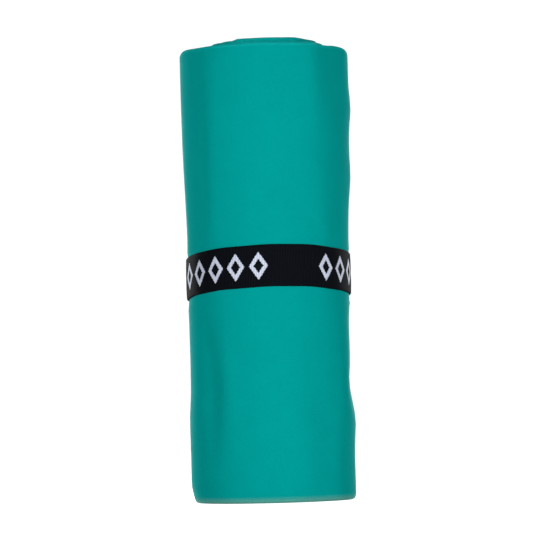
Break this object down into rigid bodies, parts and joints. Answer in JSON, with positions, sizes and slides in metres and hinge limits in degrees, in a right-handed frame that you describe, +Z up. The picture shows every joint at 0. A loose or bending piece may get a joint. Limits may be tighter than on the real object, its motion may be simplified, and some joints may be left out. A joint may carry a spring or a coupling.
{
  "type": "quick dry towel",
  "caption": "Travel towel of thin microfibre, folded lengthwise and rolled up into a compact upright cylinder, held by a flat elastic band round its middle.",
  "frame": {"origin": "on the surface that the roll stands on, under the middle of its outline", "axes": "+Z is up along the axis of the roll, -Y is the front, where the band rides a little higher, and +X is the right as seen from the front"},
  "size_m": [0.0928, 0.0929, 0.255],
  "materials": {
    "microfibre": "matt suede-like microfibre with a short soft nap",
    "hem_thread": "spun polyester sewing thread, dyed to match",
    "label_satin": "blank white woven satin",
    "woven_elastic": "ribbed black woven elastic with a white woven pattern of plain shapes",
    "band_thread": "black sewing thread"
  },
  "bodies": {
    "rolled_towel": {"towel_cloth": "microfibre", "first_side_hem_thread": "hem_thread", "second_side_hem_thread": "hem_thread", "outer_end_hem_thread": "hem_thread", "inner_end_hem_thread": "hem_thread", "care_label": "label_satin"},
    "band": {"elastic_band": "woven_elastic", "band_lap_stitching": "band_thread"}
  },
  "joints": [
    {"name": "band_slide", "type": "slide", "parent": "rolled_towel", "child": "band", "axis": [0, 0, 1], "range_m": [-0.11, 0.15]}
  ]
}
